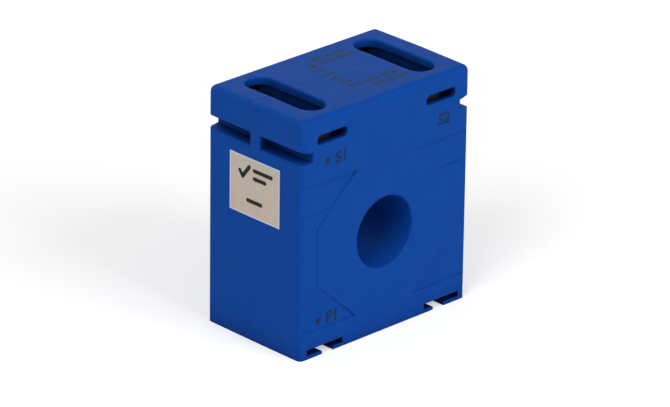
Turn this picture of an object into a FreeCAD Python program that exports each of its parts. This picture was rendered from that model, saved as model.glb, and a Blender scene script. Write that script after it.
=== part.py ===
"""Current transformer with a round window, in a moulded case of two half shells.

Frame: millimetres, X across the front, Y from front to rear, Z up. The origin is the middle of the
underside, so the front face looks towards -Y. The wound ring sits round the window, and the two
secondary terminals sit in the head above it. The sizes work outwards: the ring is built up round
the window, and the case round the ring, the terminals and the foot slots.
"""
import FreeCAD, Part
import math
import os

# Window: bore through the case, formed by a half tube in each shell.
window_radius = 10.3
window_rim = 0.3
tube_wall = 1.7
spigot_wall = 0.7
spigot_length = 1.0

# Ring: steel core, cup and lid, copper turns and tape.
core_radial_width = 8.45
core_length = 25.2
core_clearance = 0.1
cap_wall = 0.8
layer_gap = 0.05
wire_diameter = 1.0
turn_count = 24
turn_gap = 0.9
turn_gap_depth = 0.6
tape_thickness = 0.4

# Room round the ring, and the case's wall.
coil_bore_gap = 0.6
coil_side_gap = 0.7
side_room = 3.0
ceiling_room = 1.28
pad_height = 0.8
pad_length = 6.0
rib_thickness = 1.6
wall = 2.0

# Outside of the case: where the shells meet, taper for the mould, and rounded edges.
parting_y = 1.0
draft_degrees = 0.4
edge_radius = 1.9

# Tongue and groove that join the shells round the chamber.
tongue_width = 0.7
tongue_height = 0.8
tongue_inset = 0.65
joint_clearance = 0.1

# Shallow steps on both faces, each measured back from the head: an eight-sided field round the
# window, the strips beside it, and a panel in each corner.
seam_drop = 18.95
field_inset = 6.2
field_side_half_height = 8.2
field_seam_inset = 20.6
field_border = 2.4
field_step = 0.3
side_step = 0.45
corner_step = 0.6

# Grooves along both sides, under the head.
groove_drop = 8.5
groove_depth = 4.0
groove_mouth = 4.5
groove_lip = 0.9
groove_floor_rise = 0.9
groove_bevel = 0.5
bridge_width = 3.8
bridge_y = -0.3

# Foot slots: tee slots along the underside, placed from the sides inwards.
foot_slot_inset = 2.7
foot_slot_width = 13.2
foot_slot_ceiling = 2.7
foot_lip = 0.9
foot_gap_inset = 8.25
foot_gap_width = 4.1

# Terminal compartments in the head.
terminal_inset = 11.05
wire_slot_drop = 6.5
wire_slot_width = 10.8
wire_slot_height = 2.7
wire_slot_corner = 0.9
compartment_roof = 2.4
compartment_sump = 1.0
screw_slot_width = 8.4
screw_slot_end_wall = 4.6
pocket_end_wall = 4.85
slot_rim = 0.3
bar_width = 8.2
bar_thickness = 3.2
bar_bevel = 0.3
bar_drop_below_slot = 0.15
bar_clearance = 0.15
well_width = 5.2
well_clearance = 0.55

# Clamp plates and terminal screws.
screw_end_distance = 5.3
plate_side = 7.6
plate_thickness = 1.0
plate_corner = 1.2
plate_hole_radius = 2.15
screw_radius = 1.95
screw_length = 5.8
screw_hole_clearance = 0.05
head_radius = 3.5
head_height = 2.2
recess_width = 1.0
recess_depth = 1.2
recess_short_length = 4.2

# Lead-outs from the winding, straight up into the terminal bars.
lead_edge_distance = 1.5
lead_in_bar = 2.5
lead_hole_depth = 3.0
lead_clearance = 0.1
sleeve_wall = 0.5
sleeve_end_gap = 0.5
passage_clearance = 0.15

# Self-adhesive label on the left side.
label_length = 19.3
label_height = 16.9
label_centre_y = -0.2
label_drop = 24.5
label_thickness = 0.12

# Small values for cutters that must pass clear of a face, and for picking edges.
overshoot = 1.0
tolerance = 0.01

# Ring, from the window outwards. The winding and its tape have one flat for each turn, so their
# radii are at the corners, and flat_ratio brings a corner's radius down to the flat's.
flat_ratio = math.cos(math.pi / turn_count)
tube_radius = window_radius + tube_wall
winding_depth = tape_thickness + layer_gap
cap_depth = winding_depth + wire_diameter + layer_gap
coil_bore = tube_radius + coil_bore_gap
cap_bore = (coil_bore + cap_depth) / flat_ratio
core_bore = cap_bore + cap_wall + core_clearance
core_radius = core_bore + core_radial_width
cap_radius = core_radius + core_clearance + cap_wall
coil_radius = (cap_radius + cap_depth) / flat_ratio
cap_half_length = core_length / 2 + core_clearance + cap_wall
coil_half_length = cap_half_length + cap_depth

# Width and depth of the case, worked out round the ring: 62.4 mm by 37 mm.
chamber_half_width = coil_radius + side_room
half_width = chamber_half_width + wall
chamber_rear = coil_half_length + joint_clearance + pad_height
chamber_front = -chamber_rear
rear_y = chamber_rear + wall + corner_step
front_y = -rear_y
draft_slope = math.tan(math.radians(draft_degrees))

# Terminals and foot slots in plan, from the sides inwards.
terminal_x = half_width - terminal_inset
compartment_half_width = wire_slot_width / 2
compartment_half_length = rear_y - wall
pocket_half_width = bar_width / 2 + bar_clearance
pocket_half_length = rear_y - pocket_end_wall
bar_half_length = pocket_half_length - bar_clearance
screw_ys = (screw_end_distance - bar_half_length, bar_half_length - screw_end_distance)
foot_slot_outer = half_width - foot_slot_inset
foot_slot_inner = foot_slot_outer - foot_slot_width
foot_gap_outer = half_width - foot_gap_inset

# Chamber: a wide part round the ring, and a narrow part that reaches into the foot and the head.
trunk_half_width = min(foot_slot_inner, terminal_x - compartment_half_width) - wall
trunk_floor = wall
chamber_floor = foot_slot_ceiling + wall
ring_reach = math.sqrt((coil_radius + coil_side_gap) ** 2 - trunk_half_width ** 2)
window_height = max(trunk_floor + coil_side_gap + coil_radius, chamber_floor + ring_reach)
chamber_ceiling = window_height + ring_reach + ceiling_room

# Heights in the head, from the top down. With them the case comes to 69.2 mm.
bar_drop = wire_slot_drop + wire_slot_height / 2 + bar_drop_below_slot
well_drop = bar_drop - plate_thickness + screw_length + well_clearance
case_height = chamber_ceiling + wall + max(well_drop, groove_drop + groove_mouth)
trunk_ceiling = case_height - wall
seam_z = case_height - seam_drop
wire_slot_top = case_height - wire_slot_drop + wire_slot_height / 2
wire_slot_bottom = wire_slot_top - wire_slot_height
bar_top = case_height - bar_drop
bar_bottom = bar_top - bar_thickness
plate_top = bar_top + plate_thickness
well_bottom = case_height - well_drop

# Leads: each stands on the parting plane, between the winding and the underside of its bar.
lead_radius = wire_diameter / 2
lead_x = terminal_x - bar_width / 2 + lead_edge_distance
sleeve_bore = lead_radius + lead_clearance
sleeve_radius = sleeve_bore + sleeve_wall
passage_radius = sleeve_radius + passage_clearance


def box(x0, x1, y0, y1, z0, z1):
    """Block between three pairs of planes."""
    return Part.makeBox(x1 - x0, y1 - y0, z1 - z0, FreeCAD.Vector(x0, y0, z0))


def prism_along_y(points, y0, y1):
    """Closed outline of (x, z) points, carried from y0 to y1."""
    corners = [FreeCAD.Vector(x, y0, z) for x, z in points]
    outline = Part.makePolygon(corners + corners[:1])
    return Part.Face(outline).extrude(FreeCAD.Vector(0, y1 - y0, 0))


def prism_along_x(points, x0, x1):
    """Closed outline of (y, z) points, carried from x0 to x1."""
    corners = [FreeCAD.Vector(x0, y, z) for y, z in points]
    outline = Part.makePolygon(corners + corners[:1])
    return Part.Face(outline).extrude(FreeCAD.Vector(x1 - x0, 0, 0))


def prism_along_z(points, z0, z1):
    """Closed outline of (x, y) points, carried from z0 to z1."""
    corners = [FreeCAD.Vector(x, y, z0) for x, y in points]
    outline = Part.makePolygon(corners + corners[:1])
    return Part.Face(outline).extrude(FreeCAD.Vector(0, 0, z1 - z0))


def window_cylinder(radius, y0, y1):
    """Cylinder on the window's axis."""
    base = FreeCAD.Vector(0, y0, window_height)
    return Part.makeCylinder(radius, y1 - y0, base, FreeCAD.Vector(0, 1, 0))


def window_ring(inner_radius, outer_radius, y0, y1):
    """Ring on the window's axis."""
    return window_cylinder(outer_radius, y0, y1).cut(window_cylinder(inner_radius, y0, y1))


def upright_cylinder(radius, x, y, z0, z1):
    """Cylinder along Z."""
    return Part.makeCylinder(radius, z1 - z0, FreeCAD.Vector(x, y, z0), FreeCAD.Vector(0, 0, 1))


def mirrored_in_x(shape):
    """Copy of a shape on the other side of the middle plane."""
    return shape.mirror(FreeCAD.Vector(0, 0, 0), FreeCAD.Vector(1, 0, 0))


def both_sides(shape):
    """A shape and its mirror image across the middle plane."""
    return [shape, mirrored_in_x(shape)]


def save(shape, name):
    """Write one piece as a solid file."""
    shape.exportStep(os.path.join("parts", name + ".step"))


def shell_blank(face_y):
    """Outer form of a half shell: tapered for the mould from the parting plane to its face."""
    taper = abs(face_y - parting_y) * draft_slope
    plan = [(-half_width, parting_y), (half_width, parting_y),
            (half_width - taper, face_y), (-half_width + taper, face_y)]
    side = [(parting_y, 0), (parting_y, case_height), (face_y, case_height - taper), (face_y, 0)]
    blank = prism_along_z(plan, 0, case_height)
    blank = blank.common(prism_along_x(side, -half_width, half_width))
    rounded = []
    for edge in blank.Edges:
        ends = [vertex.Point for vertex in edge.Vertexes]
        top_corner = (abs(ends[0].y - ends[-1].y) > tolerance
                      and all(abs(end.x) > half_width - taper - tolerance
                              and end.z > case_height - taper - tolerance for end in ends))
        on_face = all(abs(end.y - face_y) < tolerance for end in ends)
        if top_corner or (on_face and edge.BoundBox.ZMax > tolerance):
            rounded.append(edge)
    return blank.makeFillet(edge_radius, rounded)


def face_steps(face_y):
    """Cutters for the shallow steps on a face: eight-sided field, side strips and corner panels."""
    inward = 1 if face_y < parting_y else -1
    far = half_width + overshoot
    field = half_width - field_inset
    seam_end = half_width - field_seam_inset
    seam_rise = seam_z - window_height
    panel_rise = window_radius + field_border
    slope = (field - seam_end) / (seam_rise - field_side_half_height)
    panel_end = seam_end + slope * (seam_rise - panel_rise)

    def step(points, depth):
        start, end = sorted([face_y - inward * overshoot, face_y + inward * depth])
        return prism_along_y(points, start, end)

    below_seam = [(-far, -overshoot), (far, -overshoot), (far, seam_z), (-far, seam_z)]
    cutters = [step(below_seam, field_step)]
    for side in (-1, 1):
        for turn in (-1, 1):
            strip = [(field, -overshoot), (field, field_side_half_height), (seam_end, seam_rise),
                     (far, seam_rise), (far, -overshoot)]
            panel = [(panel_end, panel_rise), (seam_end, seam_rise), (far, seam_rise), (far, panel_rise)]
            for outline, depth in ((strip, side_step), (panel, corner_step)):
                points = [(side * x, window_height + turn * rise) for x, rise in outline]
                cutters.append(step(points, depth))
    return cutters


def chamber_outline(grow):
    """Outline of the space for the ring and the leads, made larger all round by grow."""
    wide = chamber_half_width + grow
    narrow = trunk_half_width + grow
    right = [(narrow, trunk_floor - grow), (narrow, chamber_floor - grow),
             (wide, chamber_floor - grow), (wide, chamber_ceiling + grow),
             (narrow, chamber_ceiling + grow), (narrow, trunk_ceiling + grow)]
    left = [(-x, z) for x, z in reversed(right)]
    return right + left


def chamber():
    """Space inside the case, round the window tube and the corner ribs with their end pads."""
    space = prism_along_y(chamber_outline(0), chamber_front, chamber_rear)
    keep = [window_cylinder(tube_radius, chamber_front - overshoot, chamber_rear + overshoot)]
    rib_start = coil_radius + coil_side_gap
    pad_start = (coil_bore + coil_radius - pad_length) / 2
    low = window_height - rib_thickness / 2
    high = window_height + rib_thickness / 2
    blocks = [box(rib_start, 2 * half_width, chamber_front, chamber_rear, low, high),
              box(pad_start, pad_start + pad_length, chamber_front, chamber_front + pad_height, low, high),
              box(pad_start, pad_start + pad_length, chamber_rear - pad_height, chamber_rear, low, high)]
    for side in (-1, 1):
        for corner_z in (chamber_floor, chamber_ceiling):
            angle = math.degrees(math.atan2(corner_z - window_height, side * chamber_half_width))
            for block in blocks:
                copy = block.copy()
                copy.rotate(FreeCAD.Vector(0, 0, window_height), FreeCAD.Vector(0, 1, 0), -angle)
                keep.append(copy)
    return space.cut(keep)


def stadium(width, half_length, x, z0, z1):
    """Slot with round ends, long in Y."""
    straight = half_length - width / 2
    slot = box(x - width / 2, x + width / 2, -straight, straight, z0, z1)
    ends = [upright_cylinder(width / 2, x, end * straight, z0, z1) for end in (-1, 1)]
    return slot.fuse(ends).removeSplitter()


def terminal_box(half_across, half_along, z0, z1):
    """Block round the middle of the right-hand terminal."""
    return box(terminal_x - half_across, terminal_x + half_across, -half_along, half_along, z0, z1)


def terminal_space():
    """Everything that is hollow round the right-hand terminal, from the roof down to the wells."""
    roof = case_height - compartment_roof
    compartment = terminal_box(compartment_half_width, compartment_half_length,
                               wire_slot_bottom - compartment_sump, roof)
    pocket = terminal_box(pocket_half_width, pocket_half_length, bar_bottom, wire_slot_bottom)
    screw_slot = stadium(screw_slot_width, rear_y - screw_slot_end_wall, terminal_x,
                         roof - overshoot, case_height + overshoot)
    wire_slot = terminal_box(wire_slot_width / 2, rear_y + overshoot, wire_slot_bottom, wire_slot_top)
    long_edges = [edge for edge in wire_slot.Edges
                  if abs(edge.Vertexes[0].Y - edge.Vertexes[-1].Y) > tolerance]
    wire_slot = wire_slot.makeFillet(wire_slot_corner, long_edges)
    wire_slot = wire_slot.cut(terminal_box(wire_slot_width, compartment_half_length,
                                           wire_slot_bottom - overshoot, wire_slot_top + overshoot))
    half_well = well_width / 2
    wells = [box(terminal_x - half_well, terminal_x + half_well, y - half_well, y + half_well,
                 well_bottom, bar_bottom + overshoot) for y in screw_ys]
    return [compartment, pocket, screw_slot, wire_slot] + wells


def side_grooves():
    """Cutters for the two grooves of the right-hand side, one each side of the bridge."""
    top = case_height - groove_drop
    bottom = top - groove_mouth
    inner = half_width - groove_depth
    outer = half_width + overshoot
    roof_slope = groove_lip / groove_depth
    profile = [(outer, top + roof_slope * overshoot), (inner, top - groove_lip),
               (inner, bottom + groove_floor_rise), (half_width - groove_bevel, bottom + groove_bevel),
               (outer, bottom - overshoot)]
    front = prism_along_y(profile, front_y - overshoot, bridge_y - bridge_width / 2)
    rear = prism_along_y(profile, bridge_y + bridge_width / 2, rear_y + overshoot)
    return [front, rear]


def foot_slots():
    """Cutters for the right-hand tee slot."""
    start, end = front_y - overshoot, rear_y + overshoot
    wide = box(foot_slot_inner, foot_slot_outer, start, end, foot_lip, foot_slot_ceiling)
    gap = box(foot_gap_outer - foot_gap_width, foot_gap_outer, start, end,
              -overshoot, foot_slot_ceiling - foot_lip)
    return [wide, gap]


def lead_passages():
    """Upright passages on the parting plane, from the chamber into each terminal pocket."""
    return both_sides(upright_cylinder(passage_radius, lead_x, parting_y,
                                       chamber_ceiling - overshoot, bar_bottom + overshoot))


def tongue_band(clearance, height):
    """Band that follows the chamber's outline, standing on the parting plane towards the rear."""
    outer = prism_along_y(chamber_outline(tongue_inset + tongue_width + clearance),
                          parting_y, parting_y + height)
    inner = prism_along_y(chamber_outline(tongue_inset - clearance), parting_y, parting_y + height)
    return outer.cut(inner)


def bevel_openings(shell, face_y):
    """Bevel the window's rim and the mouths of the screw slots and wire slots."""
    window_edges = [edge for edge in shell.Edges
                    if not edge.Degenerated and isinstance(edge.Curve, Part.Circle)
                    and abs(edge.Curve.Radius - window_radius) < tolerance
                    and abs(edge.BoundBox.YMin - face_y) < corner_step + tolerance
                    and edge.BoundBox.YLength < tolerance]
    shell = shell.makeChamfer(window_rim, window_edges)
    taper = abs(face_y - parting_y) * draft_slope
    mouths = []
    for edge in shell.Edges:
        area = edge.BoundBox
        off_middle = abs(abs(area.Center.x) - terminal_x)
        on_top = (area.ZMin > case_height - taper - tolerance and area.YLength > tolerance
                  and abs(area.Center.y) < rear_y - screw_slot_end_wall + tolerance
                  and off_middle <= screw_slot_width / 2 + tolerance)
        on_face = (abs(area.Center.y - face_y) < tolerance and area.YLength < tolerance
                   and area.ZMin > wire_slot_bottom - tolerance and area.ZMax < wire_slot_top + tolerance
                   and off_middle <= wire_slot_width / 2 + tolerance)
        if on_top or on_face:
            mouths.append(edge)
    return shell.makeChamfer(slot_rim, mouths)


def half_shell(face_y):
    """One moulded half: outer form, steps on its face, and its share of every hollow."""
    cutters = face_steps(face_y)
    for right_hand in terminal_space() + side_grooves() + foot_slots():
        cutters += both_sides(right_hand)
    cutters.append(chamber())
    cutters.append(window_cylinder(window_radius, front_y - overshoot, rear_y + overshoot))
    return bevel_openings(shell_blank(face_y).cut(cutters), face_y)


def front_shell():
    """Front half, with the tongue and the spigot that enter the rear half."""
    tongue = tongue_band(0, tongue_height)
    spigot = window_ring(tube_radius - spigot_wall, tube_radius, parting_y, parting_y + spigot_length)
    shell = half_shell(front_y).fuse([tongue, spigot]).removeSplitter()
    return shell.cut(lead_passages())


def rear_shell():
    """Rear half, with the groove for the tongue and the step for the spigot."""
    groove = tongue_band(joint_clearance, tongue_height + joint_clearance)
    step = window_ring(tube_radius - spigot_wall - joint_clearance, tube_radius + overshoot,
                       parting_y, parting_y + spigot_length + joint_clearance)
    return half_shell(rear_y).cut([groove, step] + lead_passages())


def many_sided(radius, half_length):
    """Block on the window's axis with one flat for each turn, its corners at this radius."""
    angles = [(number + 0.5) * 2 * math.pi / turn_count for number in range(turn_count)]
    corners = [(radius * math.sin(angle), window_height + radius * math.cos(angle)) for angle in angles]
    return prism_along_y(corners, -half_length, half_length)


def wrapped_ring(depth):
    """Flat-sided ring whose surface lies depth below the outside of the tape."""
    half_length = coil_half_length - depth
    outside = many_sided(coil_radius - depth / flat_ratio, half_length)
    return outside.cut(many_sided((coil_bore + depth) / flat_ratio, half_length + overshoot))


def winding_tape():
    """Insulating tape, wrapped round the whole winding."""
    holes = both_sides(upright_cylinder(passage_radius, lead_x, parting_y, window_height, case_height))
    return wrapped_ring(0).cut([wrapped_ring(tape_thickness)] + holes)


def secondary_winding():
    """Copper turns side by side round the ring, joined below the gaps between them."""
    winding = wrapped_ring(winding_depth).cut(wrapped_ring(winding_depth + wire_diameter))
    gap = box(0, 2 * coil_radius, -2 * coil_half_length, 2 * coil_half_length,
              window_height - turn_gap / 2, window_height + turn_gap / 2)
    gap = gap.cut(wrapped_ring(winding_depth + turn_gap_depth))
    gaps = []
    for number in range(turn_count):
        copy = gap.copy()
        angle = (number + 0.5) * 360 / turn_count
        copy.rotate(FreeCAD.Vector(0, 0, window_height), FreeCAD.Vector(0, 1, 0), angle)
        gaps.append(copy)
    return winding.cut(gaps)


def core_cup():
    """Insulating cup over the core, open to the rear. The lid lies on its two rims."""
    rim_y = cap_half_length - cap_wall
    cup = window_ring(cap_bore, cap_radius, -cap_half_length, rim_y)
    space = window_ring(core_bore - core_clearance, core_radius + core_clearance, -rim_y, rim_y + overshoot)
    return cup.cut(space)


def core_lid():
    """Flat insulating ring that closes the cup."""
    return window_ring(cap_bore, cap_radius, cap_half_length - cap_wall, cap_half_length)


def core():
    """Ring wound from electrical steel strip."""
    return window_ring(core_bore, core_radius, -core_length / 2, core_length / 2)


def winding_surface(x):
    """Height that clears the winding at this distance from the middle."""
    return window_height + math.sqrt((coil_radius - winding_depth) ** 2 - x ** 2) + layer_gap


def lead():
    """Bare end of the winding wire, from the winding up into the right-hand bar."""
    return upright_cylinder(lead_radius, lead_x, parting_y,
                            winding_surface(lead_x - lead_radius), bar_bottom + lead_in_bar)


def sleeve():
    """Insulating sleeve over the right-hand lead."""
    foot = winding_surface(lead_x - sleeve_radius)
    top = bar_bottom - sleeve_end_gap
    bore = upright_cylinder(sleeve_bore, lead_x, parting_y, foot - overshoot, top + overshoot)
    return upright_cylinder(sleeve_radius, lead_x, parting_y, foot, top).cut(bore)


def terminal_bar():
    """Right-hand terminal: brass bar with two screw holes and a blind hole for the lead."""
    half = bar_width / 2
    bar = box(terminal_x - half, terminal_x + half, -bar_half_length, bar_half_length, bar_bottom, bar_top)
    entries = [edge for edge in bar.Edges
               if edge.BoundBox.ZMin > bar_top - tolerance and edge.BoundBox.YLength < tolerance]
    bar = bar.makeChamfer(bar_bevel, entries)
    holes = [upright_cylinder(screw_radius + screw_hole_clearance, terminal_x, y,
                              bar_bottom - overshoot, bar_top + overshoot) for y in screw_ys]
    lead_hole = upright_cylinder(lead_radius + lead_clearance, lead_x, parting_y,
                                 bar_bottom - overshoot, bar_bottom + lead_hole_depth)
    return bar.cut(holes + [lead_hole])


def clamp_plate(y):
    """Square plate that presses the conductor onto the bar."""
    half = plate_side / 2
    plate = box(terminal_x - half, terminal_x + half, y - half, y + half, bar_top, plate_top)
    corners = [edge for edge in plate.Edges if edge.BoundBox.ZLength > tolerance]
    plate = plate.makeChamfer(plate_corner, corners)
    return plate.cut(upright_cylinder(plate_hole_radius, terminal_x, y,
                                      bar_top - overshoot, plate_top + overshoot))


def terminal_screw(y):
    """Clamping screw, with one long and one short slot across its head."""
    head_top = plate_top + head_height
    head = upright_cylinder(head_radius, terminal_x, y, plate_top, head_top)
    shank = upright_cylinder(screw_radius, terminal_x, y, plate_top - screw_length, plate_top)
    floor = head_top - recess_depth
    half = recess_width / 2
    long_slot = box(terminal_x - half, terminal_x + half, y - 2 * head_radius, y + 2 * head_radius,
                    floor, head_top + overshoot)
    short_slot = box(terminal_x - recess_short_length / 2, terminal_x + recess_short_length / 2,
                     y - half, y + half, floor, head_top + overshoot)
    return head.fuse(shank).cut([long_slot, short_slot])


def side_label():
    """Thin label that lies on the left side of both shells and follows their taper."""
    front = label_centre_y - label_length / 2
    rear = label_centre_y + label_length / 2

    def side_x(y):
        return -half_width + abs(y - parting_y) * draft_slope

    inner = [(side_x(front), front), (side_x(parting_y), parting_y), (side_x(rear), rear)]
    outer = [(x - label_thickness, y) for x, y in reversed(inner)]
    centre_z = case_height - label_drop
    return prism_along_z(inner + outer, centre_z - label_height / 2, centre_z + label_height / 2)


def main():
    """Build every piece and write it."""
    os.makedirs("parts", exist_ok=True)
    save(front_shell(), "front_shell")
    save(rear_shell(), "rear_shell")
    save(side_label(), "side_label")
    save(core(), "core")
    save(core_cup(), "core_cap_front")
    save(core_lid(), "core_cap_rear")
    save(secondary_winding(), "secondary_winding")
    save(winding_tape(), "winding_tape")
    right_hand = {"lead_{}": lead(), "sleeve_{}": sleeve(), "terminal_bar_{}": terminal_bar()}
    for place, y in zip(("front", "rear"), screw_ys):
        right_hand["clamp_plate_{}_" + place] = clamp_plate(y)
        right_hand["terminal_screw_{}_" + place] = terminal_screw(y)
    for name, shape in right_hand.items():
        save(mirrored_in_x(shape), name.format("s1"))
        save(shape, name.format("s2"))


main()
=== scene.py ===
# %% [markdown]
# A current transformer with a round window, dressed for the camera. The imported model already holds
# every solid at its real size, in metres, so this lesson never moves or resizes a part. It gives each
# part the finish of the real one and adds what is printed on the case and on the label. The frame
# comes first, because every later place is read from it.

# %% Load the frame
import math

import bpy
from mathutils import Matrix, Vector


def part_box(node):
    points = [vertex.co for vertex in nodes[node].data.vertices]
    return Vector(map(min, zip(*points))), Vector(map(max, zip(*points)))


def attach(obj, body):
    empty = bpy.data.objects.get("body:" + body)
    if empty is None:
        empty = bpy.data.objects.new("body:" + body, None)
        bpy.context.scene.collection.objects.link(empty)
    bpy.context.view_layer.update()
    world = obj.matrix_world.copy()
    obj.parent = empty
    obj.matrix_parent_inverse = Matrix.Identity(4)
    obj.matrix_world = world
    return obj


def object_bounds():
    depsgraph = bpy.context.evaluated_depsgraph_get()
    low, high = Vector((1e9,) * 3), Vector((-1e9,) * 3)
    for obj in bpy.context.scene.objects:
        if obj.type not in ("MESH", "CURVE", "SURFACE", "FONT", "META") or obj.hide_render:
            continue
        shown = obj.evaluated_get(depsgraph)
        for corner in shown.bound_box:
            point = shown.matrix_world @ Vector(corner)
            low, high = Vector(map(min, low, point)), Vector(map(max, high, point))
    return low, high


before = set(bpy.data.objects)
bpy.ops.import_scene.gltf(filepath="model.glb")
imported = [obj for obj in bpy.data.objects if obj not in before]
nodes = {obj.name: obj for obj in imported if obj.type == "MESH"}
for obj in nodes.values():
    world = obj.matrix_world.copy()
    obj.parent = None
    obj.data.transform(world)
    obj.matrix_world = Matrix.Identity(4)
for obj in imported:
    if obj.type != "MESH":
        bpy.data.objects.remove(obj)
cad_low, cad_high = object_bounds()
MM = 0.001
TOP_Z = cad_high.z
print("solids:", len(nodes), "size in mm:", [round(side / MM, 1) for side in cad_high - cad_low])

# %% [markdown]
# The camera is placed as the photographer stood: to the left of the front face and a little above it,
# far away with a long lens, so the upright edges stay almost parallel. The picture is 670 pixels wide,
# and the lens follows from the focal length in pixels. The aim point lies just below and left of the
# middle of the case, which puts the case a little above and right of the middle of the picture, as in
# the photo.

# %% Camera
PICTURE_WIDTH = 670
FOCAL_PIXELS = 5294
SENSOR_MM = 36.0
AZIMUTH = math.radians(-44.1)
ELEVATION = math.radians(23.84)
ROLL = math.radians(0.797)
DISTANCE = 1.43
AIM_LEFT = 0.9 * MM
AIM_DOWN = 3.05 * MM
NEAR_CLIP, FAR_CLIP = 0.05, 20

forward = Vector((-math.sin(AZIMUTH) * math.cos(ELEVATION),
                  math.cos(AZIMUTH) * math.cos(ELEVATION), -math.sin(ELEVATION)))
level_right = Vector((math.cos(AZIMUTH), math.sin(AZIMUTH), 0))
level_up = level_right.cross(forward)
right = level_right * math.cos(ROLL) + level_up * math.sin(ROLL)
up = level_up * math.cos(ROLL) - level_right * math.sin(ROLL)
aim = Vector((0, 0, TOP_Z / 2)) - right * AIM_LEFT - up * AIM_DOWN
stand = aim - forward * DISTANCE

camera_data = bpy.data.cameras.new("camera")
camera_data.sensor_width = SENSOR_MM
camera_data.lens = FOCAL_PIXELS / PICTURE_WIDTH * SENSOR_MM
camera_data.clip_start = NEAR_CLIP
camera_data.clip_end = FAR_CLIP
camera = bpy.data.objects.new("camera", camera_data)
bpy.context.scene.collection.objects.link(camera)
camera.matrix_world = Matrix((
    (right.x, up.x, -forward.x, stand.x),
    (right.y, up.y, -forward.y, stand.y),
    (right.z, up.z, -forward.z, stand.z),
    (0, 0, 0, 1)))
bpy.context.scene.camera = camera
print("lens in mm:", round(camera_data.lens, 1))

# %% [markdown]
# Colours are written the way a picture editor shows them, as sRGB hex, but shaders count in linear
# light. One function turns the first into the second. Another adds a shader node, sets it up and links
# it. A third gives a noise the scale that makes its spots a wanted size, and the last one puts a
# finished material on solids.

# %% Colour, nodes and dressing
def linear(hex_colour):
    """Linear RGBA from an sRGB hex string such as 1A489C."""
    channels = [int(hex_colour[start:start + 2], 16) / 255 for start in (0, 2, 4)]
    return tuple(c / 12.92 if c <= 0.04045 else ((c + 0.055) / 1.055) ** 2.4 for c in channels) + (1.0,)


def add(tree, kind, inputs=None, **settings):
    """Adds a node. A value of inputs is a plain value, or another node's socket to link from."""
    node = tree.nodes.new(kind)
    for name, value in settings.items():
        setattr(node, name, value)
    for name, value in (inputs or {}).items():
        if isinstance(value, bpy.types.NodeSocket):
            tree.links.new(value, node.inputs[name])
        else:
            node.inputs[name].default_value = value
    return node


def per_metre(size_mm):
    """Noise scale whose features are about this many millimetres across."""
    return 1 / (size_mm * MM)


def dress(material, *names):
    """Gives each named solid this material."""
    for name in names:
        for entry in nodes[name].material_slots:
            entry.material = material
    print(material.name, "on", ", ".join(names))


print("half grey in linear light:", round(linear("808080")[0], 3))

# %% [markdown]
# The same few nodes come back in every material, so each gets a short name here. A material then reads
# as a list of what it is made of. The Mix node carries several sockets of one name, and only their
# number tells its two colours and its result apart.

# %% Short names for common nodes
MIX_FIRST, MIX_SECOND, MIX_RESULT = 6, 7, 2


def new_tree(name):
    """A new material with an empty node tree, that tree, and the socket of Object coordinates."""
    material = bpy.data.materials.new(name)
    material.use_nodes = True
    tree = material.node_tree
    tree.nodes.clear()
    return material, tree, add(tree, "ShaderNodeTexCoord").outputs["Object"]


def noise(tree, position, size_mm, detail, **inputs):
    """Noise with spots of about this size."""
    node = add(tree, "ShaderNodeTexNoise", {"Vector": position, "Scale": per_metre(size_mm),
                                            "Detail": detail, **inputs})
    return node.outputs["Fac"]


def ramp(tree, value, start, end, low=0.0, high=1.0):
    """Goes from low to high while the value goes from start to end."""
    node = add(tree, "ShaderNodeMapRange", {"Value": value, "From Min": start, "From Max": end,
                                            "To Min": low, "To Max": high})
    return node.outputs["Result"]


def blend(tree, share, first, second):
    """First colour with a share of the second. Each is a hex string or a socket."""
    first, second = (linear(colour) if isinstance(colour, str) else colour for colour in (first, second))
    node = add(tree, "ShaderNodeMix", {"Factor": share, MIX_FIRST: first, MIX_SECOND: second},
               data_type="RGBA")
    return node.outputs[MIX_RESULT]


def compute(tree, operation, first, second=0.0):
    """Arithmetic on one or two values."""
    return add(tree, "ShaderNodeMath", {0: first, 1: second}, operation=operation).outputs["Value"]


def bump(tree, height, depth_mm, strength, **inputs):
    """Normal that makes a pattern look as deep as this."""
    node = add(tree, "ShaderNodeBump", {"Height": height, "Distance": depth_mm * MM,
                                        "Strength": strength, **inputs})
    return node.outputs["Normal"]


def finish_material(tree, inputs):
    """Ends a material with a Principled shader that has these inputs."""
    shader = add(tree, "ShaderNodeBsdfPrincipled", inputs)
    add(tree, "ShaderNodeOutputMaterial", {"Surface": shader.outputs["BSDF"]})


print("noise scale for spots of 1 mm:", round(per_metre(1)))

# %% [markdown]
# The case is injection-moulded polycarbonate, coloured right through. The mould was spark-eroded, which
# leaves a fine even grain. The grain breaks up the mirror reflection, so the specular level is low and
# the blue stays deep, with a paler sheen only where the surface is seen at a slant. Slow cooling leaves
# very shallow waves over the ribs. The grain of the real tool is about 0.1 mm, too fine for this
# picture, so it is drawn at 0.3 mm. The rounded edges get a stronger, paler blue, a painted highlight,
# and a Bevel node compared with the true normal finds those edges. The slots, the grooves and the window
# are darkened with painted shade. An Ambient Occlusion node finds those places: it measures what share
# of the room a point can see past everything within 14 mm. Where that is a fifth or less the painted
# shade is darkest, and from two thirds up there is none.

# %% Moulded blue plastic
CASE_BLUE = "08459C"
PALE_BLUE = "0C4AA4"
# painted highlight: a stronger, paler blue laid on the rounded edges
PAINTED_EDGE_HIGHLIGHT_BLUE = "0A4EB6"
# painted shade: the dark blue laid into slots, grooves and the window
PAINTED_SHADE_BLUE = "021747"
EDGE_RADIUS = 0.9 * MM
RECESS_REACH = 14 * MM
HIDDEN_SHARE, OPEN_SHARE = 0.2, 0.66
NODE_SAMPLES = 8


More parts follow.
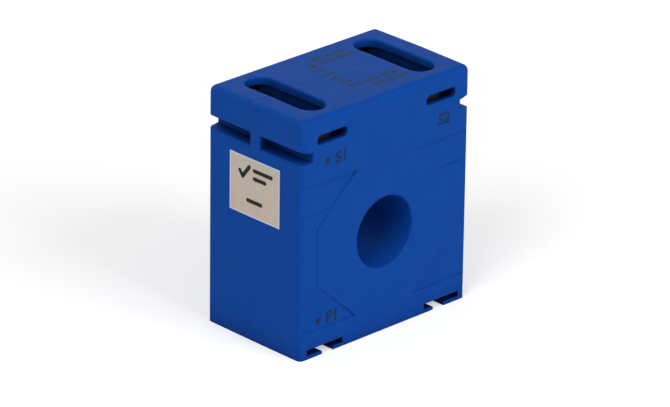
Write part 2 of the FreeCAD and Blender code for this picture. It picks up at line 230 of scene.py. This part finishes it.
def moulded_polycarbonate(name, base_hex, light_hex, edge_highlight_hex, painted_shade_hex, grain_mm=0.3, wave_mm=16.0,
                          cloud_mm=5.0):
    """Spark-eroded moulded plastic with soft waves, fine grain, a painted highlight on its edges and
    painted shade in its recesses.
    """
    material, tree, position = new_tree(name)
    grain = noise(tree, position, grain_mm, detail=2.0)
    wave = noise(tree, position, wave_mm, detail=1.0)
    cloud = noise(tree, position, cloud_mm, detail=3.0)
    body = blend(tree, ramp(tree, cloud, start=0.3, end=0.7, high=0.6), base_hex, light_hex)

    bevel = add(tree, "ShaderNodeBevel", {"Radius": EDGE_RADIUS}, samples=NODE_SAMPLES)
    rounded = bevel.outputs["Normal"]
    true_normal = add(tree, "ShaderNodeNewGeometry").outputs["Normal"]
    agree = add(tree, "ShaderNodeVectorMath", {0: rounded, 1: true_normal}, operation="DOT_PRODUCT")
    # painted highlight on the edges, where the rounded normal leaves the true one
    edge = ramp(tree, agree.outputs["Value"], start=0.98, end=0.8, high=0.8)
    with_painted_highlight = blend(tree, edge, body, edge_highlight_hex)

    # painted shade in recesses, from the share of the room a point can see
    openness = add(tree, "ShaderNodeAmbientOcclusion", {"Distance": RECESS_REACH}, samples=NODE_SAMPLES)
    painted_shade = ramp(tree, openness.outputs["AO"], start=HIDDEN_SHARE, end=OPEN_SHARE, low=1.0, high=0.0)

    waves = bump(tree, wave, depth_mm=0.05, strength=0.35, Normal=rounded)
    grains = bump(tree, grain, depth_mm=0.012, strength=0.5, Normal=waves)
    finish_material(tree, {
        "Base Color": blend(tree, painted_shade, with_painted_highlight, painted_shade_hex),
        "Roughness": ramp(tree, grain, start=0.35, end=0.65, low=0.42, high=0.54),
        "IOR": 1.58, "Specular IOR Level": 0.04, "Normal": grains})
    return material


blue_plastic = moulded_polycarbonate("moulded_polycarbonate_blue", CASE_BLUE, PALE_BLUE, PAINTED_EDGE_HIGHLIGHT_BLUE,
                                     PAINTED_SHADE_BLUE)
dress(blue_plastic, "front_shell", "rear_shell")

# %% [markdown]
# The label is matt self-adhesive paper. Paper is pressed from fibres, so its white is never even: a fine
# noise darkens it in specks and a slow one fades it in clouds, and it is drawn warmer towards the
# bottom. A narrow cool pale rim along its edges is a painted highlight. The rim is found from the
# distance to the label's own four edges.

# %% Label paper
LABEL_HIGHLIGHT_RIM = 0.55 * MM


def matt_paper(name):
    """Uncoated self-adhesive paper with fibres, a warmer lower part and a painted highlight on its rim."""
    material, tree, position = new_tree(name)
    fibre = noise(tree, position, size_mm=0.35, detail=4.0)
    cloud = noise(tree, position, size_mm=6.0, detail=1.0)
    parts = add(tree, "ShaderNodeSeparateXYZ", {"Vector": position})
    low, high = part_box("side_label")
    paper = blend(tree, ramp(tree, parts.outputs["Z"], start=high.z, end=low.z), "CEC3B8", "D2BFAE")
    spotted = blend(tree, ramp(tree, fibre, start=0.3, end=0.7, high=0.22), paper, "A79C92")
    faded = blend(tree, ramp(tree, cloud, start=0.35, end=0.65, high=0.15), spotted, "E0D8CF")
    near_edges = []
    for axis, start, end in (("Y", low.y, high.y), ("Z", low.z, high.z)):
        middle, half = (start + end) / 2, (end - start) / 2
        offset = compute(tree, "SUBTRACT", parts.outputs[axis], middle)
        near_edges.append(ramp(tree, compute(tree, "ABSOLUTE", offset), start=half - LABEL_HIGHLIGHT_RIM,
                               end=half - LABEL_HIGHLIGHT_RIM / 2, high=0.85))
    # painted highlight: a cool pale rim along the label's four edges
    rim_highlight = compute(tree, "MAXIMUM", *near_edges)
    finish_material(tree, {
        "Base Color": blend(tree, rim_highlight, faded, "CDD7E8"), "Roughness": 0.85, "Specular IOR Level": 0.2,
        "Normal": bump(tree, fibre, depth_mm=0.01, strength=0.4)})
    return material


dress(matt_paper("matt_label_paper"), "side_label")

# %% [markdown]
# The metals come next. Each is told apart by its base colour, by how rough the process left it and by
# the direction of its marks: a drawn bar has lines along its length, and a stamped or turned part has
# fine spots. All use one function with the colours and the pattern's size as its values.

# %% Metals
ROUGHNESS_SPREAD = 0.08


def worked_metal(name, base_hex, dull_hex, roughness, mark_mm, stretch=(1.0, 1.0, 1.0)):
    """Bare or plated metal with marks of a given size, drawn out along an axis by stretch."""
    material, tree, position = new_tree(name)
    drawn = add(tree, "ShaderNodeMapping", {"Vector": position, "Scale": stretch})
    marks = noise(tree, drawn.outputs["Vector"], mark_mm, detail=3.0)
    stain = noise(tree, position, size_mm=2.5, detail=2.0)
    finish_material(tree, {
        "Base Color": blend(tree, ramp(tree, stain, start=0.4, end=0.7, high=0.7), base_hex, dull_hex),
        "Metallic": 1.0,
        "Roughness": ramp(tree, marks, start=0.3, end=0.7, low=roughness - ROUGHNESS_SPREAD,
                          high=roughness + ROUGHNESS_SPREAD),
        "Normal": bump(tree, marks, depth_mm=0.01, strength=0.4)})
    return material


nickel_brass = worked_metal("nickel_plated_drawn_brass", "8F9092", "4E5256", 0.34, 0.25, (1, 0.05, 1))
zinc_plate = worked_metal("zinc_plated_stamped_steel", "A2A7AA", "757B7E", 0.42, 0.4)
zinc_screw = worked_metal("zinc_plated_turned_steel", "AAADAA", "7D7F7B", 0.36, 0.3)
strip_steel = worked_metal("wound_silicon_steel_strip", "6E7276", "54585C", 0.4, 0.3, (1, 0.02, 1))
enamelled_copper = worked_metal("enamelled_copper_wire", "B5683A", "8A4522", 0.28, 0.5, (1, 0.1, 1))

dress(nickel_brass, "terminal_bar_s1", "terminal_bar_s2")
dress(zinc_plate, *[name for name in nodes if name.startswith("clamp_plate")])
dress(zinc_screw, *[name for name in nodes if name.startswith("terminal_screw")])
dress(strip_steel, "core")
dress(enamelled_copper, "secondary_winding", "lead_s1", "lead_s2")

# %% [markdown]
# Three more finishes sit inside the sealed case. They can't be seen until it is opened, but a reader
# who hides the shells finds them: natural nylon on the core's cup and lid, yellow polyester film over
# the winding and varnished glass-fibre sleeving on the leads.

# %% Insulation
def insulation(name, base_hex, mark_hex, roughness, weave_mm, coat=0.0):
    """Insulating film, nylon or sleeving: two tones in a fine pattern, with an optional varnish."""
    material, tree, position = new_tree(name)
    weave = add(tree, "ShaderNodeTexVoronoi", {"Vector": position, "Scale": per_metre(weave_mm)})
    cell = weave.outputs["Distance"]
    finish_material(tree, {
        "Base Color": blend(tree, ramp(tree, cell, start=0.1, end=0.7, high=0.5), base_hex, mark_hex),
        "Roughness": roughness, "Coat Weight": coat,
        "Normal": bump(tree, cell, depth_mm=0.02, strength=0.4)})
    return material


dress(insulation("natural_moulded_nylon", "D9D2BE", "C8BFA6", 0.5, 1.2), "core_cap_front", "core_cap_rear")
dress(insulation("polyester_winding_tape", "D9BE62", "C4A64A", 0.25, 2.5), "winding_tape")
dress(insulation("varnished_glass_sleeving", "E2DCC4", "BDB394", 0.6, 0.4, 0.5), "sleeve_s1", "sleeve_s2")

# %% [markdown]
# The case is pad-printed: a soft pad lifts ink from a plate and dabs it on, which leaves a thin film
# with bare spots where the grain of the case is high. So the ink's material mixes the ink with the
# colour of the ground under it, in small worn patches. The label's print is fresher and darker.

# %% Ink
def worn_ink(name, ink_hex, ground_hex, wear, spread, patch_mm):
    """Thin printed film: the share of it worn through varies by spread from patch to patch."""
    material, tree, position = new_tree(name)
    patch = noise(tree, position, patch_mm, detail=4.0, Roughness=0.7)
    worn = ramp(tree, patch, start=0.4, end=0.6, low=max(0.0, wear - spread), high=min(1.0, wear + spread))
    finish_material(tree, {"Base Color": blend(tree, worn, ink_hex, ground_hex), "Roughness": 0.7,
                           "Specular IOR Level": 0.2})
    return material


mark_ink = worn_ink("pad_print_marks", "082030", CASE_BLUE, wear=0.15, spread=0.25, patch_mm=0.55)
faded_ink = worn_ink("pad_print_faded", "143436", CASE_BLUE, wear=0.3, spread=0.55, patch_mm=0.9)
label_ink = worn_ink("black_thermal_print", "1B1A17", "3A3833", wear=0.2, spread=0.3, patch_mm=0.3)
print("inks:", mark_ink.name, faded_ink.name, label_ink.name)

# %% [markdown]
# Every printed shape starts as a flat outline round the origin, as thick as the film. Then it is laid
# down: each of its points is sent along a ray onto the solid below, so the film follows the taper of
# the mould and the joint between the shells. The turn says which way the print faces.

# %% Helpers for printed pieces
INK_THICKNESS = 0.02 * MM
PROBE_START = 5 * MM
FACING_FRONT = Matrix.Rotation(math.radians(90), 4, "X")
FACING_UP = Matrix.Identity(4)
FACING_LEFT = Matrix.Rotation(math.radians(-90), 4, "Z") @ FACING_FRONT


def only(piece):
    """Selects this object alone and makes it the active one."""
    bpy.ops.object.select_all(action="DESELECT")
    piece.select_set(True)
    bpy.context.view_layer.objects.active = piece


def surface(carriers, start, direction):
    """Nearest point where a ray meets one of the named solids."""
    hits = [nodes[name].ray_cast(start, direction) for name in carriers]
    points = [point for hit, point, _, _ in hits if hit]
    assert points, "a printed point has to lie over its carrier"
    return min(points, key=lambda point: (point - start).length)


def lay_down(piece, spot, facing, carriers):
    """Moves a flat film to a spot and onto the solids under it. The film's own height is kept."""
    turn = facing.to_3x3()
    outward = turn @ Vector((0, 0, 1))
    for vertex in piece.data.vertices:
        over = spot + turn @ Vector((vertex.co.x, vertex.co.y, 0))
        ground = surface(carriers, over + outward * PROBE_START, -outward)
        vertex.co = ground + outward * vertex.co.z


def finish_print(pieces, name, material):
    """Joins films to one piece, names and dresses it, and lets it ride with the part."""
    only(pieces[0])
    for piece in pieces[1:]:
        piece.select_set(True)
    if len(pieces) > 1:
        bpy.ops.object.join()
    whole = pieces[0]
    whole.name = whole.data.name = name
    whole.data.materials.clear()
    whole.data.materials.append(material)
    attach(whole, "root")
    print(name, "faces:", len(whole.data.polygons))


print("ink film in mm:", INK_THICKNESS / MM)

# %% [markdown]
# Two kinds of film are needed. Letters come from a text object, which has clean shapes: it becomes a
# mesh first, and its points are then brought to the wanted height and thickness. Bars and dots are
# modelled: a plane or a filled circle is brought to size, cut across so that it can follow the ground,
# rounded at its corners and extruded by the thickness of the ink.

# %% Films
BOLDNESS = 0.035
CORNER_SHARE = 0.4
CORNER_STEPS = 3
LONGEST_PIECE = 2 * MM
DOT_CORNERS = 24


def letters(words, height):
    """Letters as a thin mesh of this height, round the origin."""
    bpy.ops.object.select_all(action="DESELECT")
    bpy.ops.object.text_add(location=(0, 0, 0))
    piece = bpy.context.active_object
    piece.data.body = words
    piece.data.extrude = 0.5
    piece.data.offset = BOLDNESS
    bpy.ops.object.convert(target="MESH")
    piece = bpy.context.active_object
    lowest = Vector([min(v.co[axis] for v in piece.data.vertices) for axis in range(3)])
    highest = Vector([max(v.co[axis] for v in piece.data.vertices) for axis in range(3)])
    size = highest - lowest
    grow = height / size.y
    piece.data.transform(Matrix.Diagonal((grow, grow, INK_THICKNESS / size.z, 1))
                         @ Matrix.Translation(-(lowest + highest) / 2))
    return piece


def thicken(piece):
    """Extrudes a flat outline to the thickness of the ink, half of it below the ground."""
    bpy.ops.mesh.select_all(action="SELECT")
    bpy.ops.mesh.extrude_region_move(TRANSFORM_OT_translate={"value": (0, 0, INK_THICKNESS)})
    bpy.ops.mesh.select_all(action="SELECT")
    bpy.ops.transform.translate(value=(0, 0, -INK_THICKNESS / 2))
    bpy.ops.mesh.normals_make_consistent(inside=False)
    bpy.ops.object.mode_set(mode="OBJECT")
    return piece


def bar(length, width, turn=0.0, shift=(0.0, 0.0)):
    """Bar with rounded ends, turned by an angle and shifted from the origin."""
    bpy.ops.object.select_all(action="DESELECT")
    bpy.ops.mesh.primitive_plane_add(size=1.0, location=(0, 0, 0))
    piece = bpy.context.active_object
    bpy.ops.object.mode_set(mode="EDIT")
    bpy.ops.mesh.select_all(action="SELECT")
    bpy.ops.transform.resize(value=(length, width, 1))
    bpy.ops.mesh.bevel(offset=width * CORNER_SHARE, segments=CORNER_STEPS, affect="VERTICES")
    cut_count = max(1, round(length / LONGEST_PIECE))
    for number in range(1, cut_count):
        bpy.ops.mesh.select_all(action="SELECT")
        bpy.ops.mesh.bisect(plane_co=(length * (number / cut_count - 0.5), 0, 0), plane_no=(1, 0, 0))
    thicken(piece)
    piece.data.transform(Matrix.Translation((*shift, 0)) @ Matrix.Rotation(turn, 4, "Z"))
    return piece


def dot(diameter):
    """Round dot."""
    bpy.ops.object.select_all(action="DESELECT")
    bpy.ops.mesh.primitive_circle_add(vertices=DOT_CORNERS, radius=diameter / 2, fill_type="NGON",
                                      location=(0, 0, 0))
    piece = bpy.context.active_object
    bpy.ops.object.mode_set(mode="EDIT")
    return thicken(piece)


print("a bar is cut about every", LONGEST_PIECE / MM, "mm")

# %% [markdown]
# Window transformers all carry the same terminal marks. P1 is the side where the primary conductor
# enters, and S1 and S2 are the two ends of the secondary. A dot beside P1 and S1 shows the ends that
# have the same polarity. The marks sit on the front face, under their terminals and low on the left.
# Each is written with its place across, its height above the floor and the place of its dot.

# %% Terminal marks
MARK_HEIGHT = 3.6 * MM
DOT_DIAMETER = 1.9 * MM
SECONDARY_MARK_Z = TOP_Z - 13.05 * MM
PRIMARY_MARK_Z = 10.1 * MM
MARKS = (("S1", -17.2 * MM, SECONDARY_MARK_Z, -21.9 * MM),
         ("S2", 21.4 * MM, SECONDARY_MARK_Z, None),
         ("P1", -19.4 * MM, PRIMARY_MARK_Z, -24.2 * MM))
for words, x, z, dot_x in MARKS:
    films = [(letters(words, MARK_HEIGHT), x)]
    if dot_x is not None:
        films.append((dot(DOT_DIAMETER), dot_x))
    for film, film_x in films:
        lay_down(film, Vector((film_x, cad_low.y, z)), FACING_FRONT, ["front_shell"])
    finish_print([film for film, _ in films], "mark_" + words.lower(), mark_ink)

# %% [markdown]
# Between the screw slots the top carries a rating print, rubbed almost away by cleaning. Its words are
# not repeated here: plain bars of the same size take the place of the rows, in ink so worn that the
# blue shows through. Each bar is written as its row and where it starts and ends, left to right, in
# millimetres.

# %% Worn print on the top
ROW_HEIGHT = 2.3 * MM
ROWS = ((12.0, (0.2, 5.0)), (12.0, (5.8, 12.4)), (8.9, (-3.6, 0.0)), (8.9, (0.8, 6.6)),
        (8.9, (7.4, 13.8)), (5.6, (-4.4, -0.8)), (2.2, (-4.4, -0.4)), (-1.2, (-4.4, -1.0)),
        (-4.6, (-4.4, -0.6)), (-8.0, (-4.2, 0.4)), (-8.0, (1.2, 6.4)), (-8.0, (7.2, 13.0)),
        (-11.4, (1.8, 6.4)), (-11.4, (7.2, 14.2)))
films = []
for row_y, (start_x, end_x) in ROWS:
    film = bar((end_x - start_x) * MM, ROW_HEIGHT)
    lay_down(film, Vector(((start_x + end_x) / 2 * MM, row_y * MM, TOP_Z)), FACING_UP,
             ["front_shell", "rear_shell"])
    films.append(film)
finish_print(films, "top_print", faded_ink)

# %% [markdown]
# The label on the left side says that the part has passed its test. Here a tick and three plain bars
# say the same without words. The tick is two bars that meet at a corner, a short stroke and a long one.
# Each plain bar is written as its length, its place across and its place up from the label's middle.

# %% Print on the label
label_low, label_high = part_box("side_label")
label_middle = (label_low + label_high) / 2
STROKE = 1.15 * MM
TICK_SHORT = 2.9 * MM
TICK_LONG = 5.4 * MM
TICK_TURN = math.radians(52)
UPPER_ROW = 4.1 * MM
LOWER_ROW = -3.9 * MM
TICK_ACROSS = -4.6 * MM
DROP_SHARE = 0.3
TICK_RISE = UPPER_ROW - TICK_LONG * DROP_SHARE
LABEL_BARS = ((7.6 * MM, 3.2 * MM, UPPER_ROW + STROKE), (5.2 * MM, 2.0 * MM, UPPER_ROW - STROKE),
              (6.2 * MM, 0.0, LOWER_ROW))


def tick():
    """Tick mark: a short stroke down to a corner and a long stroke up from it."""
    strokes = []
    for length, turn, side in ((TICK_SHORT, -TICK_TURN, -1), (TICK_LONG, TICK_TURN, 1)):
        reach = (length - STROKE) / 2
        strokes.append(bar(length, STROKE, turn, (side * reach * math.cos(TICK_TURN),
                                                  reach * math.sin(TICK_TURN))))
    return strokes


def on_label(film, across, rise):
    """Lays a film on the label, across to the right and up from its middle."""
    spot = label_middle + Vector((0, -across, rise))
    lay_down(film, spot, FACING_LEFT, ["side_label"])
    return film


films = [on_label(stroke, TICK_ACROSS, TICK_RISE) for stroke in tick()]
films += [on_label(bar(length, STROKE), across, rise) for length, across, rise in LABEL_BARS]
finish_print(films, "label_print", label_ink)

# %% [markdown]
# The floor is a wide pale sheet. Its own colour is lit like anything else, so it keeps the shadow of the
# case, and a little light that only the camera sees lifts it to white. Far from the case the lamps
# hardly reach the sheet, so the lift grows with the distance, from 0.15 m out to 1.2 m. The world round
# it is white to the camera, to reflections and to glass, and a plain grey for everything else.

# %% Floor and world
FLOOR_SIDE = 8.0
NEAR_LIFT, FAR_LIFT = 0.4, 0.85
LIFT_STARTS, LIFT_ENDS = 0.15, 1.2
ROOM_GREY = 0.2


def pale_floor():
    """Large sheet that keeps the shadow near the case and looks white."""
    bpy.ops.object.select_all(action="DESELECT")
    bpy.ops.mesh.primitive_plane_add(size=FLOOR_SIDE, location=(0, 0, 0))
    floor = bpy.context.active_object
    floor.name = "floor"
    material, tree, position = new_tree("pale_floor_sheet")
    away = add(tree, "ShaderNodeVectorMath", {0: position}, operation="LENGTH")
    wanted = ramp(tree, away.outputs["Value"], LIFT_STARTS, LIFT_ENDS, NEAR_LIFT, FAR_LIFT)
    ray = add(tree, "ShaderNodeLightPath")
    lift = compute(tree, "MULTIPLY", ray.outputs["Is Camera Ray"], wanted)
    sheet = add(tree, "ShaderNodeBsdfDiffuse", {"Color": linear("F2F2F2")})
    glow = add(tree, "ShaderNodeEmission", {"Color": linear("FFFFFF"), "Strength": lift})
    both = add(tree, "ShaderNodeAddShader", {0: sheet.outputs["BSDF"], 1: glow.outputs["Emission"]})
    add(tree, "ShaderNodeOutputMaterial", {"Surface": both.outputs["Shader"]})
    floor.data.materials.append(material)


def studio_world():
    """White to the camera, reflections and glass, and grey as a light."""
    world = bpy.data.worlds.new("studio")
    world.use_nodes = True
    tree = world.node_tree
    tree.nodes.clear()
    ray = add(tree, "ShaderNodeLightPath")
    seen = compute(tree, "MAXIMUM", ray.outputs["Is Camera Ray"], ray.outputs["Is Glossy Ray"])
    seen = compute(tree, "MAXIMUM", seen, ray.outputs["Is Transmission Ray"])
    strength = ramp(tree, seen, start=0.0, end=1.0, low=ROOM_GREY, high=1.0)
    light = add(tree, "ShaderNodeBackground", {"Color": linear("FFFFFF"), "Strength": strength})
    add(tree, "ShaderNodeOutputWorld", {"Surface": light.outputs["Background"]})
    bpy.context.scene.world = world


pale_floor()
studio_world()
print("floor of", FLOOR_SIDE, "m in a room of grey", ROOM_GREY)

# %% [markdown]
# Three wide lamps light the case as a small studio would. A broad one stands in front, another high on
# the left, so that the head throws its shadow into the side grooves, and a weaker one behind keeps the
# rear from going dark. Wide lamps give soft edges to shadows, and their strength is set so that a
# colour on the front face renders about as it is written.

# %% Lamps
LAMP_SIDE = 1.0


def soft_lamp(name, stand_point, power):
    """Square area lamp that looks at the middle of the case."""
    data = bpy.data.lights.new(name, "AREA")
    data.shape = "SQUARE"
    data.size = LAMP_SIDE
    data.energy = power
    lamp = bpy.data.objects.new(name, data)
    bpy.context.scene.collection.objects.link(lamp)
    lamp.location = stand_point
    look = Vector((0, 0, TOP_Z / 2)) - Vector(stand_point)
    lamp.rotation_mode = "QUATERNION"
    lamp.rotation_quaternion = look.to_track_quat("-Z", "Y")
    print(name, power, "W")


soft_lamp("front_lamp", (0.25, -1.5, 0.95), power=16.4)
soft_lamp("left_lamp", (-1.3, -0.4, 1.25), power=14.8)
soft_lamp("rear_lamp", (0.1, 1.7, 0.55), power=6)

bpy.context.scene.view_settings.view_transform = "Standard"
